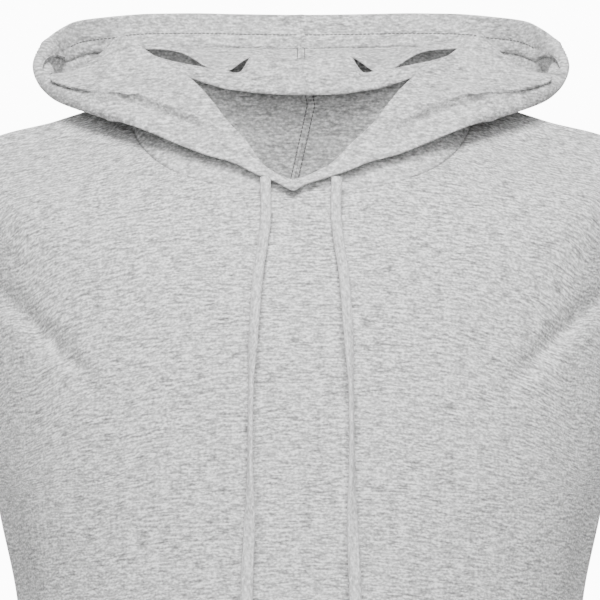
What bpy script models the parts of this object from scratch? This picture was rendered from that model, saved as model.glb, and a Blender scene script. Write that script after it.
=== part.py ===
"""Hooded t-shirt in plain jersey, filled out as it is worn, hollow, with nobody in it.

Metres, +Z up.  The front faces -Y and the wearer's left is at +X.  The origin lies midway between the two
points where the neck seam crosses the shoulders, which is where the wearer carries the garment.

Every cloth piece is an open surface, drawn on the right side of the cloth, that a Solidify modifier
thickens towards the wrong side.  Each stops short of the seams that join it to its neighbours, by an ease
that leaves about 0.3 mm of air between their walls.
"""
import math

import bpy
from mathutils import Vector

# ---- driving dimensions ------------------------------------------------------------------------------
CLOTH = 0.0015            # wall of the jersey
SIDE_EASE = 0.00035       # how far each panel stops short of the side seam and the armhole
SHOULDER_EASE = 0.0014    # and of the shoulder seam, whose ridge tips the two walls together
SLEEVE_EASE = 0.0006      # how far outside the armhole the sleeve starts
HOOD_LIFT = 0.0010        # how far above the body's neck edge the hood starts
FRONT_EASE = 0.0011       # half the space between the hood's panels at the V, where they tilt together
NAPE_EASE = 0.0006        # and down their centre-back seam
KNOT_GAP = 0.0003         # air between the end of a drawstring and its knot

BODY_COLUMNS = 18         # facets across the front, and across the back
SLEEVE_RINGS = 7          # facets down a sleeve
CORD_POINTS = 18          # points along a drawstring

CUFF_CENTRE = Vector((0.2770, -0.002, -0.2930))
CUFF_HALF_WIDTH = 0.0625
CUFF_HALF_DEPTH = 0.0585
SLEEVE_HANG = 20.0        # degrees between the sleeve's axis and straight down
SHOULDER_SLOPE = 27.0     # degrees below level at which the sleeve leaves the shoulder
UNDERARM_SLOPE = 68.0     # and the armpit
SLEEVE_FULLNESS = 1.10    # the larger, the further a line bows out before it turns to the cuff

CORD_WIDTH = 0.008        # drawstring of folded jersey
KNOT_RADIUS = 0.0075
KNOT_LENGTH = 0.019

GREY = (0.60, 0.60, 0.60, 1.0)
PALE = (0.68, 0.68, 0.68, 1.0)

# Rings round the body, from the hem up to the neck seam.  A ring is a rounded oval whose front, side and
# back stand at three heights.  "level" is roughly the way up along the cloth, and "square" the exponent
# of the oval: 2 is an ellipse, and more fills out its corners.
TORSO_COLUMNS = ("level", "half_width", "y_front", "y_back", "z_front", "z_side", "z_back", "square")
TORSO_RINGS = (
    (0.000, 0.203, -0.120, 0.118, -0.722, -0.716, -0.720, 2.1),
    (0.120, 0.197, -0.124, 0.118, -0.602, -0.598, -0.600, 2.1),
    (0.250, 0.189, -0.128, 0.112, -0.472, -0.470, -0.472, 2.1),
    (0.365, 0.197, -0.137, 0.121, -0.358, -0.355, -0.358, 2.1),
    (0.441, 0.211, -0.141, 0.131, -0.283, -0.279, -0.283, 2.25),
    (0.518, 0.220, -0.140, 0.135, -0.216, -0.190, -0.203, 2.3),
    (0.593, 0.227, -0.131, 0.127, -0.156, -0.102, -0.134, 2.3),
    (0.645, 0.226, -0.120, 0.109, -0.119, -0.037, -0.091, 2.3),
    (0.690, 0.170, -0.111, 0.088, -0.097, -0.016, -0.071, 2.4),
    (0.730, 0.120, -0.104, 0.070, -0.078, 0.000, -0.054, 2.5),
)
LEVELS_BELOW_ARMPIT = (0.0, 0.06, 0.12, 0.185, 0.25, 0.31, 0.365, 0.405)
LEVELS_OF_ARMHOLE = (0.441, 0.454, 0.475, 0.503, 0.533, 0.563, 0.592, 0.616, 0.634, 0.645)
LEVELS_OF_SHOULDER = (0.667, 0.69, 0.711, 0.73)
ARMPIT_LEVEL = LEVELS_OF_ARMHOLE[0]
SHOULDER_LEVEL = LEVELS_OF_ARMHOLE[-1]      # of the shoulder's outer end, where the sleeve begins
NECK_LEVEL = TORSO_RINGS[-1][0]
ARMHOLE_SCOOP = 25.0      # degrees that the armhole cuts in from the side of the ring
ARMHOLE_ROUND = 0.6       # below 1 the armhole leaves the armpit and the shoulder more squarely

# Half of the hood, a row for each section, "around" being the angle on the neck ring from the front (0)
# to the nape (180).  From the neck seam the cloth goes up a share "rise" of the way to "belly", set
# "tuck" behind the straight line, then past "belly" to "roll".  It turns over there, hangs "drop" deep
# into the pouch, leaning "lean" backward for each metre down, and comes up to the opening "edge".
# Where rise is over 1, belly overhangs the neck; where drop is 0, the cloth lies flat, like a lapel.
HOOD_COLUMNS = (
    "around", "tuck", "rise", "belly_x", "belly_y", "belly_z", "roll_x", "roll_y", "roll_z",
    "edge_x", "edge_y", "edge_z", "drop", "lean")
HOOD_SECTIONS = (
    (0, 0.000, 0.72, 0.0000, -0.1030, -0.0745, 0.0000, -0.1036, -0.0712, 0.0000, -0.1090, -0.0795, 0.000, 0.00),
    (5, 0.000, 0.72, 0.0105, -0.1015, -0.0718, 0.0095, -0.1030, -0.0680, 0.0115, -0.1075, -0.0732, 0.000, 0.00),
    (12, 0.000, 0.72, 0.0250, -0.0985, -0.0656, 0.0239, -0.1010, -0.0588, 0.0290, -0.1045, -0.0665, 0.000, 0.00),
    (20, 0.000, 0.72, 0.0379, -0.0920, -0.0513, 0.0368, -0.0960, -0.0437, 0.0460, -0.1000, -0.0585, 0.000, 0.00),
    (30, 0.000, 0.72, 0.0518, -0.0830, -0.0378, 0.0507, -0.0870, -0.0288, 0.0660, -0.0920, -0.0520, 0.000, 0.00),
    (42, 0.000, 0.72, 0.0657, -0.0670, -0.0198, 0.0646, -0.0700, -0.0105, 0.0880, -0.0800, -0.0425, 0.000, 0.00),
    (54, 0.000, 0.72, 0.0788, -0.0490, -0.0043, 0.0787, -0.0500, 0.0069, 0.1100, -0.0660, -0.0320, 0.000, 0.00),
    (66, 0.000, 0.72, 0.0989, -0.0265, 0.0105, 0.0999, -0.0260, 0.0229, 0.1360, -0.0450, -0.0210, 0.000, 0.00),
    (78, 0.000, 0.72, 0.1200, -0.0070, 0.0250, 0.1240, -0.0050, 0.0420, 0.1690, -0.0120, -0.0055, 0.000, 0.00),
    (84, 0.002, 0.75, 0.1190, 0.0040, 0.0250, 0.1220, 0.0070, 0.0405, 0.1830, 0.0060, 0.0080, 0.010, 0.00),
    (92, 0.004, 0.82, 0.1100, 0.0170, 0.0240, 0.1110, 0.0230, 0.0345, 0.1890, 0.0240, 0.0260, 0.026, 0.20),
    (104, 0.008, 0.95, 0.0940, 0.0290, 0.0240, 0.0970, 0.0380, 0.0304, 0.1810, 0.0520, 0.0470, 0.055, 0.30),
    (120, 0.011, 1.03, 0.0765, 0.0325, 0.0172, 0.0730, 0.0470, 0.0262, 0.1550, 0.0800, 0.0650, 0.108, 0.42),
    (134, 0.012, 1.05, 0.0550, 0.0330, 0.0105, 0.0530, 0.0495, 0.0230, 0.1170, 0.0965, 0.0720, 0.144, 0.46),
    (142, 0.012, 1.05, 0.0435, 0.0325, 0.0085, 0.0430, 0.0500, 0.0224, 0.0945, 0.1015, 0.0733, 0.160, 0.47),
    (149, 0.012, 1.05, 0.0350, 0.0320, 0.0075, 0.0345, 0.0500, 0.0345, 0.0740, 0.1055, 0.0740, 0.171, 0.48),
    (161, 0.012, 1.05, 0.0235, 0.0315, 0.0062, 0.0235, 0.0500, 0.0345, 0.0460, 0.1090, 0.0739, 0.181, 0.48),
    (180, 0.012, 1.05, 0.0000, 0.0310, 0.0057, 0.0000, 0.0500, 0.0319, 0.0000, 0.1100, 0.0735, 0.190, 0.48),
)
HOOD_STATIONS = (
    0, 5, 12, 20, 30, 40, 50, 60, 70, 76, 80, 84, 90, 100, 110, 120, 130, 138, 144, 150, 160, 170, 180)
# Points that shape the pouch: share of the way from roll to edge, and share of the drop.
POUCH_POINTS = ((0.08, 0.32), (0.20, 0.86), (0.40, 1.00), (0.64, 0.84), (0.90, 0.38))
HOOD_STEPS = (2, 2, 2, 3, 3, 3, 2, 3, 2)     # facets between one profile point and the next

# Route of the drawstring on the wearer's left, from the hood's edge down the chest to its knot.
CORD_ROUTE = (
    (0.0241, -0.1094, -0.0692), (0.0236, -0.1180, -0.0960), (0.0258, -0.1255, -0.1160),
    (0.0287, -0.1335, -0.1350), (0.0313, -0.1440, -0.1690), (0.0332, -0.1480, -0.2090),
    (0.0338, -0.1490, -0.2600), (0.0343, -0.1488, -0.3060), (0.0362, -0.1486, -0.3550),
    (0.0368, -0.1484, -0.3900),
)


# ---- smooth curves through a few rows ----------------------------------------------------------------
def hermite(a, b, slope_a, slope_b, span, t):
    """Cubic from a to b over a span, at the share t of it."""
    t2, t3 = t * t, t * t * t
    return (a * (2 * t3 - 3 * t2 + 1) + slope_a * span * (t3 - 2 * t2 + t)
            + b * (3 * t2 - 2 * t3) + slope_b * span * (t3 - t2))


def curve_at(keys, values, key):
    """Value at key on the smooth curve that passes through values at keys."""
    last = len(keys) - 1
    index = next((i for i in range(last) if key <= keys[i + 1]), last - 1)

    def slope(i):
        low, high = max(i - 1, 0), min(i + 1, last)
        return (values[high] - values[low]) / (keys[high] - keys[low])

    span = keys[index + 1] - keys[index]
    share = (key - keys[index]) / span
    return hermite(values[index], values[index + 1], slope(index), slope(index + 1), span, share)


def row_at(columns, rows, key):
    """Named values of a table at key, its first column, between the rows that it lists."""
    keys = [row[0] for row in rows]
    return {name: curve_at(keys, [row[i] for row in rows], key) for i, name in enumerate(columns)}


# ---- the body's form ---------------------------------------------------------------------------------
def torso_point(around, level):
    """Point of the body's outer face, around degrees from the front, on the wearer's left half."""
    ring = row_at(TORSO_COLUMNS, TORSO_RINGS, level)
    angle = math.radians(around)
    side, front = math.sin(angle), math.cos(angle)
    square = ring["square"]
    reach = (abs(side) ** square + abs(front) ** square) ** (-1.0 / square)
    side, front = side * reach, front * reach
    if front > 0:
        return Vector((ring["half_width"] * side, ring["y_front"] * front,
                       ring["z_side"] + (ring["z_front"] - ring["z_side"]) * front))
    return Vector((ring["half_width"] * side, -ring["y_back"] * front,
                   ring["z_side"] - (ring["z_back"] - ring["z_side"]) * front))


def armhole_angle(level):
    """Angle on the ring where the front's edge lies: the side, or further in along the armhole."""
    share = (level - ARMPIT_LEVEL) / (SHOULDER_LEVEL - ARMPIT_LEVEL)
    if share <= 0 or share >= 1:
        return 90.0
    return 90.0 - ARMHOLE_SCOOP * math.sin(math.pi * share) ** ARMHOLE_ROUND


def mirrored(point):
    return Vector((-point.x, point.y, point.z))


# ---- grids of points and the objects made from them --------------------------------------------------
def shorten(row, length):
    """Draw both ends of a row of points in towards their neighbours."""
    row[0] = row[0] + (row[1] - row[0]).normalized() * length
    row[-1] = row[-1] + (row[-2] - row[-1]).normalized() * length


def link(obj):
    bpy.data.collections["hooded_t_shirt"].objects.link(obj)
    return obj


def cloth_material(name, colour):
    material = bpy.data.materials.new(name)
    material.use_nodes = True
    shader = material.node_tree.nodes["Principled BSDF"]
    shader.inputs["Base Color"].default_value = colour
    shader.inputs["Roughness"].default_value = 0.95
    shader.inputs["Metallic"].default_value = 0.0
    return material


def cloth_piece(name, grid, material, closed=False, flip=False):
    """Loft a grid into one wall of cloth.  closed joins each row's end to its start."""
    rows, columns = len(grid), len(grid[0])
    faces = []
    for i in range(rows - 1):
        for j in range(columns if closed else columns - 1):
            k = (j + 1) % columns
            face = (i * columns + j, i * columns + k, (i + 1) * columns + k, (i + 1) * columns + j)
            faces.append(face[::-1] if flip else face)
    mesh = bpy.data.meshes.new(name)
    mesh.from_pydata([point for row in grid for point in row], [], faces)
    mesh.shade_smooth()
    mesh.materials.append(material)
    piece = link(bpy.data.objects.new(name, mesh))
    wall = piece.modifiers.new("wall", "SOLIDIFY")
    wall.thickness = CLOTH
    wall.offset = -1.0
    return piece


# ---- front and back ----------------------------------------------------------------------------------
def shares(count):
    """Even steps from -1 to 1."""
    return [-1.0 + 2.0 * i / count for i in range(count + 1)]


def body_grid(centre):
    """Rows from the hem up, each from the wearer's right to the left, round the front (0) or back (180)."""
    grid = []
    for level in LEVELS_BELOW_ARMPIT + LEVELS_OF_ARMHOLE + LEVELS_OF_SHOULDER:
        reach = armhole_angle(level)
        row = []
        for share in shares(BODY_COLUMNS):
            point = torso_point(abs(centre - abs(share) * reach), level)
            row.append(mirrored(point) if share < 0 else point)
        shorten(row, SIDE_EASE if level < SHOULDER_LEVEL else SHOULDER_EASE)
        grid.append(row)
    return grid


def make_body(material):
    cloth_piece("front", body_grid(0.0), material)
    cloth_piece("back", body_grid(180.0), material, flip=True)


# ---- sleeves -----------------------------------------------------------------------------------------
def down_and_out(degrees, length=1.0):
    """Vector that points outward on the wearer's left, degrees below level."""
    angle = math.radians(degrees)
    return Vector((math.cos(angle), 0.0, -math.sin(angle))) * length


def armhole_ring():
    """Closed ring of armhole points on the wearer's left: shoulder, down the front, up the back."""
    levels = LEVELS_OF_ARMHOLE[::-1]
    front = [torso_point(armhole_angle(level), level) for level in levels]
    back = [torso_point(180.0 - armhole_angle(level), level) for level in levels]
    return front + back[-2:0:-1]


def sleeve_grid():
    start = armhole_ring()
    axis = down_and_out(90.0 - SLEEVE_HANG)
    outward = down_and_out(-SLEEVE_HANG)
    top, bottom = max(p.z for p in start), min(p.z for p in start)
    columns = []
    for index, point in enumerate(start):
        turn = 2 * math.pi * index / len(start)
        end = (CUFF_CENTRE + outward * (CUFF_HALF_WIDTH * math.cos(turn))
               + Vector((0.0, -CUFF_HALF_DEPTH * math.sin(turn), 0.0)))
        sunk = (top - point.z) / (top - bottom)
        leave = down_and_out(SHOULDER_SLOPE + (UNDERARM_SLOPE - SHOULDER_SLOPE) * sunk ** 2)
        length = (end - point).length
        begin = point + leave * SLEEVE_EASE
        columns.append([
            hermite(begin, end, leave * (length * SLEEVE_FULLNESS), axis * length, 1.0, ring / SLEEVE_RINGS)
            for ring in range(SLEEVE_RINGS + 1)])
    return [list(row) for row in zip(*columns)]


def make_sleeves(material):
    left = sleeve_grid()
    cloth_piece("sleeve_left", left, material, closed=True)
    right = [[mirrored(point) for point in row] for row in left]
    cloth_piece("sleeve_right", right, material, closed=True, flip=True)


# ---- hood --------------------------------------------------------------------------------------------
def across_the_nape(columns, rows):
    """Rows of the hood with the last but one mirrored beyond the nape, so both halves meet smoothly."""
    beyond = [-value if name.endswith("_x") else value for name, value in zip(columns, rows[-2])]
    beyond[0] = 360 - beyond[0]
    return rows + (tuple(beyond),)


def hood_profile(around):
    """Points that shape one section of the hood, from the neck seam over the roll to the edge."""
    row = row_at(HOOD_COLUMNS, across_the_nape(HOOD_COLUMNS, HOOD_SECTIONS), around)
    belly, roll, edge = (Vector((row[n + "_x"], row[n + "_y"], row[n + "_z"]))
                         for n in ("belly", "roll", "edge"))
    neck = torso_point(around, NECK_LEVEL)
    neck = neck + (belly - neck).normalized() * HOOD_LIFT
    sag = Vector((0.0, row["lean"], -1.0)) * max(row["drop"], 0.0)
    pouch = [roll.lerp(edge, across) + sag * depth for across, depth in POUCH_POINTS]
    rise = neck.lerp(belly, row["rise"]) + Vector((0.0, row["tuck"], 0.0))
    return [neck, rise, belly, roll] + pouch + [edge]


def hood_column(around):
    points = hood_profile(around)
    keys = [0.0]
    for first, second in zip(points, points[1:]):
        keys.append(keys[-1] + math.sqrt((second - first).length))
    column = []
    for index, steps in enumerate(HOOD_STEPS):
        span = keys[index + 1] - keys[index]
        column += [curve_at(keys, points, keys[index] + span * step / steps) for step in range(steps)]
    return column + [points[-1]]


def make_hood(material):
    columns = [hood_column(around) for around in HOOD_STATIONS]
    left = [list(row) for row in zip(*columns)]
    for row in left:
        row[0].x, row[-1].x = FRONT_EASE, NAPE_EASE
    cloth_piece("hood_left", left, material)
    right = [[mirrored(point) for point in row] for row in left]
    cloth_piece("hood_right", right, material, flip=True)


# ---- drawstrings -------------------------------------------------------------------------------------
def smooth_route(points, count):
    """Count points at even spacing along the smooth curve through a route."""
    keys = [0.0]
    for first, second in zip(points, points[1:]):
        keys.append(keys[-1] + (second - first).length)
    return [curve_at(keys, points, keys[-1] * i / (count - 1)) for i in range(count)]


def cord(name, route, material):
    data = bpy.data.curves.new(name, "CURVE")
    data.dimensions = "3D"
    data.bevel_depth = CORD_WIDTH / 2
    data.bevel_resolution = 2
    data.use_fill_caps = True
    spline = data.splines.new("POLY")
    points = smooth_route(route, CORD_POINTS)
    spline.points.add(len(points) - 1)
    for target, point in zip(spline.points, points):
        target.co = (*point, 1.0)
    data.materials.append(material)
    return link(bpy.data.objects.new(name, data))


def knot(name, place, material):
    """Plain closed form of the overhand knot that ends a drawstring."""
    bpy.ops.mesh.primitive_uv_sphere_add(segments=12, ring_count=8, radius=1.0, location=place)
    piece = bpy.context.object
    piece.name = piece.data.name = name
    piece.scale = (KNOT_RADIUS, KNOT_RADIUS, KNOT_LENGTH / 2)
    piece.data.shade_smooth()
    piece.data.materials.append(material)
    for collection in list(piece.users_collection):
        collection.objects.unlink(piece)
    return link(piece)


def make_drawstrings(material):
    for side, turn in (("left", lambda p: p), ("right", mirrored)):
        route = [turn(Vector(point)) for point in CORD_ROUTE]
        cord("drawstring_" + side, route, material)
        below = Vector((0.0, 0.0, -KNOT_LENGTH / 2 - KNOT_GAP))
        knot("drawstring_knot_" + side, route[-1] + below, material)


def main():
    for obj in list(bpy.data.objects):
        bpy.data.objects.remove(obj, do_unlink=True)
    collection = bpy.data.collections.new("hooded_t_shirt")
    bpy.context.scene.collection.children.link(collection)
    jersey = cloth_material("heather_jersey", GREY)
    tape = cloth_material("drawstring_tape", PALE)
    make_body(jersey)
    make_sleeves(jersey)
    make_hood(jersey)
    make_drawstrings(tape)


main()
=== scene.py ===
"""Looks of the hooded t-shirt: jersey panels as thin shells, seams, stitching and drawstrings.

Every surface starts from the same rings and sections as the part's solids, drawn finer, and is then
creased.  Metres, +Z up; the front faces -Y and the wearer's left is at +X.
"""
import math

import bpy
import numpy as np
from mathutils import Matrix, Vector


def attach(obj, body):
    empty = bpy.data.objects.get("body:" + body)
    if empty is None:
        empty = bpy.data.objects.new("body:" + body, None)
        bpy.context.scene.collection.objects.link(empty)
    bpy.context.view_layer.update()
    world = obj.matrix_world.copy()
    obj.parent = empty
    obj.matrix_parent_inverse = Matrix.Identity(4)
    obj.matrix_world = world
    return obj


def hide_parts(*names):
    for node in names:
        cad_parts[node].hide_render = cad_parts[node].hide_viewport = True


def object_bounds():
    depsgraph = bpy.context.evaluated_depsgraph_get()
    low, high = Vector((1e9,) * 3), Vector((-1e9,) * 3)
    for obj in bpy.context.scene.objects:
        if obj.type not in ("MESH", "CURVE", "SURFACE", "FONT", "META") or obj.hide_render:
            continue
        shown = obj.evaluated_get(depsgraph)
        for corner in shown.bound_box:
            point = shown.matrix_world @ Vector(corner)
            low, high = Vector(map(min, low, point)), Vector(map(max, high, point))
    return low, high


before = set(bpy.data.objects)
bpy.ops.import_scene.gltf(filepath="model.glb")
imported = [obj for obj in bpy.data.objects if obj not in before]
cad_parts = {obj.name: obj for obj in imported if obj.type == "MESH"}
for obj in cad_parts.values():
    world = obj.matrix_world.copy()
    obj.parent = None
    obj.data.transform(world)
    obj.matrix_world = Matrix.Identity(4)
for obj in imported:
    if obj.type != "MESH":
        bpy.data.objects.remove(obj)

CAD_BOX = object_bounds()
BODY = "root"
BACK = np.array((0.0, 1.0, 0.0))
UP = np.array((0.0, 0.0, 1.0))
BOTH_SIDES = (("left", 1.0), ("right", -1.0))

# ---- the part's own tables ----
# Rings of the body: level, half width, y in front and behind, z in front, beside and behind, squareness.
TORSO_RINGS = (
    (0, 0.203, -0.12, 0.118, -0.722, -0.716, -0.72, 2.1),
    (0.12, 0.197, -0.124, 0.118, -0.602, -0.598, -0.6, 2.1),
    (0.25, 0.189, -0.128, 0.112, -0.472, -0.47, -0.472, 2.1),
    (0.365, 0.197, -0.137, 0.121, -0.358, -0.355, -0.358, 2.1),
    (0.441, 0.211, -0.141, 0.131, -0.283, -0.279, -0.283, 2.25),
    (0.518, 0.22, -0.14, 0.135, -0.216, -0.19, -0.203, 2.3),
    (0.593, 0.227, -0.131, 0.127, -0.156, -0.102, -0.134, 2.3),
    (0.645, 0.226, -0.12, 0.109, -0.119, -0.037, -0.091, 2.3),
    (0.69, 0.17, -0.111, 0.088, -0.097, -0.016, -0.071, 2.4),
    (0.73, 0.12, -0.104, 0.07, -0.078, 0, -0.054, 2.5),
)
LEVELS_OF_ARMHOLE = (0.441, 0.454, 0.475, 0.503, 0.533, 0.563, 0.592, 0.616, 0.634, 0.645)
ARMPIT_LEVEL = LEVELS_OF_ARMHOLE[0]
SHOULDER_LEVEL = LEVELS_OF_ARMHOLE[-1]
NECK_LEVEL = TORSO_RINGS[-1][0]
ARMHOLE_SCOOP = 25.0  # degrees that it cuts into the front and the back
ARMHOLE_ROUND = 0.6
CUFF_CENTRE = np.array((0.2770, -0.002, -0.2930))
CUFF_HALF_WIDTH = 0.0625
CUFF_HALF_DEPTH = 0.0585
SLEEVE_HANG = 20.0  # degrees of the cuff's plane from level
SHOULDER_SLOPE = 27.0  # degrees below level where the sleeve leaves its top
UNDERARM_SLOPE = 68.0  # and its bottom
SLEEVE_FULLNESS = 1.10

# Sections of the hood's left half: degrees round it from the V, tuck and rise by the neck seam, places
# of the "belly" that the cloth rises to, of the "roll" where it turns over and of the opening's
# "edge", then how far the pouch between those drops and leans.
HOOD_SECTIONS = (
    (0, 0, 0.72, 0, -0.103, -0.0745, 0, -0.1036, -0.0712, 0, -0.109, -0.0795, 0, 0),
    (5, 0, 0.72, 0.0105, -0.1015, -0.0718, 0.0095, -0.103, -0.068, 0.0115, -0.1075, -0.0732, 0, 0),
    (12, 0, 0.72, 0.025, -0.0985, -0.0656, 0.0239, -0.101, -0.0588, 0.029, -0.1045, -0.0665, 0, 0),
    (20, 0, 0.72, 0.0379, -0.092, -0.0513, 0.0368, -0.096, -0.0437, 0.046, -0.1, -0.0585, 0, 0),
    (30, 0, 0.72, 0.0518, -0.083, -0.0378, 0.0507, -0.087, -0.0288, 0.066, -0.092, -0.052, 0, 0),
    (42, 0, 0.72, 0.0657, -0.067, -0.0198, 0.0646, -0.07, -0.0105, 0.088, -0.08, -0.0425, 0, 0),
    (54, 0, 0.72, 0.0788, -0.049, -0.0043, 0.0787, -0.05, 0.0069, 0.11, -0.066, -0.032, 0, 0),
    (66, 0, 0.72, 0.0989, -0.0265, 0.0105, 0.0999, -0.026, 0.0229, 0.136, -0.045, -0.021, 0, 0),
    (78, 0, 0.72, 0.12, -0.007, 0.025, 0.124, -0.005, 0.042, 0.169, -0.012, -0.0055, 0, 0),
    (84, 0.002, 0.75, 0.119, 0.004, 0.025, 0.122, 0.007, 0.0405, 0.183, 0.006, 0.008, 0.01, 0),
    (92, 0.004, 0.82, 0.11, 0.017, 0.024, 0.111, 0.023, 0.0345, 0.189, 0.024, 0.026, 0.026, 0.2),
    (104, 0.008, 0.95, 0.094, 0.029, 0.024, 0.097, 0.038, 0.0304, 0.1818, 0.052, 0.0482, 0.055, 0.3),
    (112, 0.01, 1, 0.0855, 0.0312, 0.021, 0.0855, 0.043, 0.0282, 0.1705, 0.0665, 0.0589, 0.081, 0.37),
    (120, 0.011, 1.03, 0.0765, 0.0325, 0.0172, 0.073, 0.047, 0.0262, 0.156, 0.08, 0.0659, 0.108, 0.42),
    (134, 0.012, 1.05, 0.055, 0.033, 0.0105, 0.053, 0.0495, 0.023, 0.117, 0.0965, 0.072, 0.144, 0.46),
    (142, 0.012, 1.05, 0.0435, 0.0325, 0.0085, 0.043, 0.05, 0.0224, 0.0945, 0.1015, 0.0733, 0.16, 0.47),
    (149, 0.012, 1.05, 0.035, 0.032, 0.0075, 0.0345, 0.05, 0.0345, 0.074, 0.1055, 0.074, 0.171, 0.48),
    (161, 0.012, 1.05, 0.0235, 0.0315, 0.0062, 0.0235, 0.05, 0.0345, 0.046, 0.109, 0.0739, 0.181, 0.48),
    (180, 0.012, 1.05, 0, 0.031, 0.0057, 0, 0.05, 0.0319, 0, 0.11, 0.0735, 0.19, 0.48),
)
HOOD_X = (3, 6, 9)  # the columns that change sign from one half to the other
# Share of the way from the roll to the edge, and of the drop there, for each point of the pouch.
POUCH_POINTS = ((0.08, 0.32), (0.20, 0.86), (0.40, 1.00), (0.64, 0.84), (0.90, 0.38))

# Route of the drawstring on the wearer's left, from the hood's edge down the chest to its knot.
CORD_ROUTE = (
    (0.0241, -0.1094, -0.0692), (0.0236, -0.118, -0.096), (0.0258, -0.1255, -0.116),
    (0.0287, -0.1335, -0.135), (0.0313, -0.144, -0.169), (0.0332, -0.148, -0.209),
    (0.0338, -0.149, -0.26), (0.0343, -0.1488, -0.306), (0.0362, -0.1486, -0.355),
    (0.0368, -0.1484, -0.39),
)
TAPE_WIDTH = 0.0084
TAPE_THICKNESS = 0.0034
TAPE_TAPER = 0.26  # how much narrower its outer face is
TAPE_SETTLE = 0.0020  # how far it sinks towards the cloth where it lies flat
SETTLE_FROM = (0.0, 0.12)  # share of the way down where that begins, and to be full
SETTLE_TO = (1.0, 0.08)  # where it ends, and to fade
CORD_POINTS = 90
TAPE_SIDES = 20
TAPE_SQUARE = (0.75, 0.6)  # powers that square its section off, across and through


# ---- smooth curves through a few rows ----
def hermite(a, b, slope_a, slope_b, span, t):
    """Cubic from a to b over a span, at the share t of it."""
    t2, t3 = t * t, t * t * t
    return (a * (2 * t3 - 3 * t2 + 1) + slope_a * span * (t3 - 2 * t2 + t)
            + b * (3 * t2 - 2 * t3) + slope_b * span * (t3 - t2))


def curve_at(keys, values, key):
    """Value at key on the smooth curve that passes through values at keys."""
    last = len(keys) - 1
    index = next((i for i in range(last) if key <= keys[i + 1]), last - 1)

    def slope(i):
        low, high = max(i - 1, 0), min(i + 1, last)
        return (values[high] - values[low]) / (keys[high] - keys[low])

    span = keys[index + 1] - keys[index]
    share = (key - keys[index]) / span
    return hermite(values[index], values[index + 1], slope(index), slope(index + 1), span, share)


def row_at(rows, key):
    """Numbers of a table at key, its first column, between the rows that it lists."""
    return curve_at([row[0] for row in rows], np.array(rows), key)


def steps(start, *runs):
    """Keys in order from start, each run being the key where it stops and its count."""
    keys = []
    for stop, count in runs:
        keys.extend(np.linspace(start, stop, count, endpoint=False))
        start = stop
    return keys + [start]


# ---- camera, light and floor ----
def placed(name, data):
    """New object of the given data in the scene."""
    item = bpy.data.objects.new(name, data)
    bpy.context.collection.objects.link(item)
    return item


AIM = np.array((0.0, -0.140, -0.155))
CAMERA_DISTANCE = 3.2
CAMERA_BELOW = 5.0  # degrees below the level of what it aims at
VIEW_WIDTH = 0.40  # metres across the picture at that distance
SHIFT = -1.0 / 600.0  # of the picture's width
KEY_POWER = 56.0
BACK_POWER = 60.0
TOP_POWER = 168.0
AMBIENT = 0.09
BACKDROP = 12.0
FLOOR_DROP = 0.55  # below the part's lowest point


def make_camera():
    angle = math.radians(CAMERA_BELOW)
    data = bpy.data.cameras.new("camera")
    data.sensor_width = 36.0
    data.lens = data.sensor_width * CAMERA_DISTANCE / VIEW_WIDTH
    data.shift_x = SHIFT
    data.clip_end = 50.0
    camera = placed("camera", data)
    camera.location = AIM + CAMERA_DISTANCE * np.array((0.0, -math.cos(angle), -math.sin(angle)))
    camera.rotation_euler = (math.pi / 2 + angle, 0.0, 0.0)
    bpy.context.scene.camera = camera


def make_light(name, place, aim_height, size, power):
    data = bpy.data.lights.new(name, "AREA")
    data.shape = "DISK"
    data.size = size
    data.energy = power
    light = placed(name, data)
    light.location = place
    away = np.array(place) - UP * aim_height
    light.rotation_euler = (math.acos(away[2] / np.linalg.norm(away)), 0.0,
                            math.atan2(away[1], away[0]) + math.pi / 2)


def make_world():
    world = bpy.data.worlds.new("studio")
    world.use_nodes = True
    tree = world.node_tree
    shade = tree.nodes["Background"]
    shade.inputs["Color"].default_value = (1.0, 1.0, 1.0, 1.0)
    path = tree.nodes.new("ShaderNodeLightPath")
    level = tree.nodes.new("ShaderNodeMapRange")
    level.inputs["To Min"].default_value = AMBIENT  # what lights the cloth
    level.inputs["To Max"].default_value = BACKDROP  # what shows behind it
    tree.links.new(path.outputs["Is Camera Ray"], level.inputs["Value"])
    tree.links.new(level.outputs["Result"], shade.inputs["Strength"])
    bpy.context.scene.world = world


def make_floor():
    bpy.ops.mesh.primitive_circle_add(vertices=96, radius=2.2, fill_type="NGON",
                                      location=(0.0, 0.0, CAD_BOX[0][2] - FLOOR_DROP))
    floor = bpy.context.object
    floor.name = "floor"
    shader = Shader("floor")
    shader.put(shader.surface, {"Base Color": (0.86, 0.86, 0.86, 1.0), "Roughness": 0.9})
    floor.data.materials.append(shader.material)


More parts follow.
